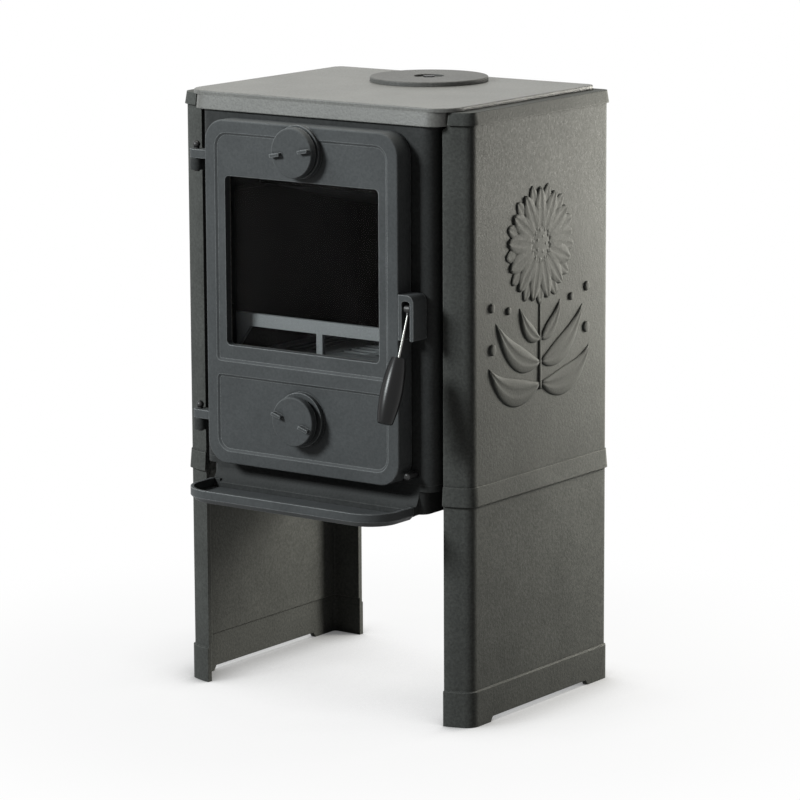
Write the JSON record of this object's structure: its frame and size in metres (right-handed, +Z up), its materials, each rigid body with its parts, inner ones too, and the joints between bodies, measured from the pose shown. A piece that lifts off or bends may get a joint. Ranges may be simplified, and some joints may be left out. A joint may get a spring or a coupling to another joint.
{
  "type": "cast iron stove",
  "caption": "Free-standing cast iron wood stove on tall panel legs, with a hinged glazed door, screw-in air spinners, lift-up latch handle, riddling grate and ash shelf.",
  "frame": {"origin": "on the floor under the middle of the overall box", "axes": "+X to the right seen from the front, +Y from the door to the back, +Z up"},
  "size_m": [0.432, 0.432, 0.748],
  "materials": {
    "casing_iron": "matte grey heat-proof paint on sand-cast iron",
    "body_iron": "matte grey heat-proof paint on sand-cast iron",
    "top_iron": "matte grey heat-proof paint on sand-cast iron",
    "door_iron": "matte dark grey heat-proof paint on sand-cast iron",
    "bare_iron": "bare cast iron, rough",
    "bright_steel": "bright turned steel",
    "dark_steel": "blackened steel",
    "pan_steel": "black painted sheet steel",
    "grip_black": "glossy black lacquer",
    "pane_glass": "clear heat-proof glass",
    "seal_rope": "woven glass rope, dark grey",
    "fire_brick": "pressed vermiculite board, rough"
  },
  "bodies": {
    "stove": {"left_leg_panel": "casing_iron", "right_leg_panel": "casing_iron", "left_side_panel": "casing_iron", "right_side_panel": "casing_iron", "panel_bolts": "dark_steel", "base_plate": "body_iron", "front_frame": "body_iron", "left_body_wall": "body_iron", "right_body_wall": "body_iron", "back_wall": "body_iron", "top_plate": "top_iron", "top_cover": "top_iron", "cover_clamp_bar": "dark_steel", "cover_bolt": "dark_steel", "flue_collar": "body_iron", "collar_bolts": "dark_steel", "ash_shelf": "body_iron", "ash_shelf_bolts": "dark_steel", "ash_pan": "pan_steel", "bottom_grate": "bare_iron", "log_retainer": "bare_iron", "left_fire_brick": "fire_brick", "right_fire_brick": "fire_brick", "back_fire_brick": "fire_brick", "baffle_plate": "bare_iron", "upper_hinge_bracket": "body_iron", "lower_hinge_bracket": "body_iron", "upper_hinge_pin": "dark_steel", "lower_hinge_pin": "dark_steel", "hinge_screws": "dark_steel", "latch_keeper": "dark_steel"},
    "door": {"door": "door_iron", "door_glass": "pane_glass", "glass_gasket": "seal_rope", "glass_clips": "dark_steel", "glass_screws": "bright_steel", "door_rope_seal": "seal_rope", "handle_hood": "door_iron", "handle_pin": "bright_steel"},
    "handle": {"handle_lever": "dark_steel", "handle_rod": "bright_steel", "handle_grip": "grip_black"},
    "upper_spindle": {"upper_spinner_spindle": "bright_steel"},
    "upper_disc": {"upper_air_spinner": "door_iron"},
    "lower_spindle": {"lower_spinner_spindle": "bright_steel"},
    "lower_disc": {"lower_air_spinner": "door_iron"},
    "riddler": {"riddling_grate": "bare_iron", "riddling_rod": "dark_steel"}
  },
  "joints": [
    {"name": "door_swing", "type": "hinge", "parent": "stove", "child": "door", "pos_m": [-0.163, -0.154, 0.507], "axis": [0, 0, -1], "range_deg": [0, 110]},
    {"name": "handle_lift", "type": "hinge", "parent": "door", "child": "handle", "pos_m": [0.154, -0.157, 0.507], "axis": [-1, 0, 0], "range_deg": [0, 70]},
    {"name": "upper_spindle_travel", "type": "slide", "parent": "door", "child": "upper_spindle", "axis": [0, -1, 0], "range_m": [-0.00251, 0.00751]},
    {"name": "upper_spinner_turn", "type": "hinge", "parent": "upper_spindle", "child": "upper_disc", "pos_m": [0, -0.175, 0.6818], "axis": [0, -1, 0], "range_deg": [-360, 1080]},
    {"name": "lower_spindle_travel", "type": "slide", "parent": "door", "child": "lower_spindle", "axis": [0, -1, 0], "range_m": [-0.00551, 0.00451]},
    {"name": "lower_spinner_turn", "type": "hinge", "parent": "lower_spindle", "child": "lower_disc", "pos_m": [0, -0.178, 0.3597], "axis": [0, -1, 0], "range_deg": [-792, 648]},
    {"name": "riddle_pull", "type": "slide", "parent": "stove", "child": "riddler", "axis": [0, -1, 0], "range_m": [0, 0.024]}
  ],
  "couplings": [
    {"joint": "upper_spindle_travel", "follows": "upper_spinner_turn", "m_per_rad": 0.00039789},
    {"joint": "lower_spindle_travel", "follows": "lower_spinner_turn", "m_per_rad": 0.00039789}
  ]
}
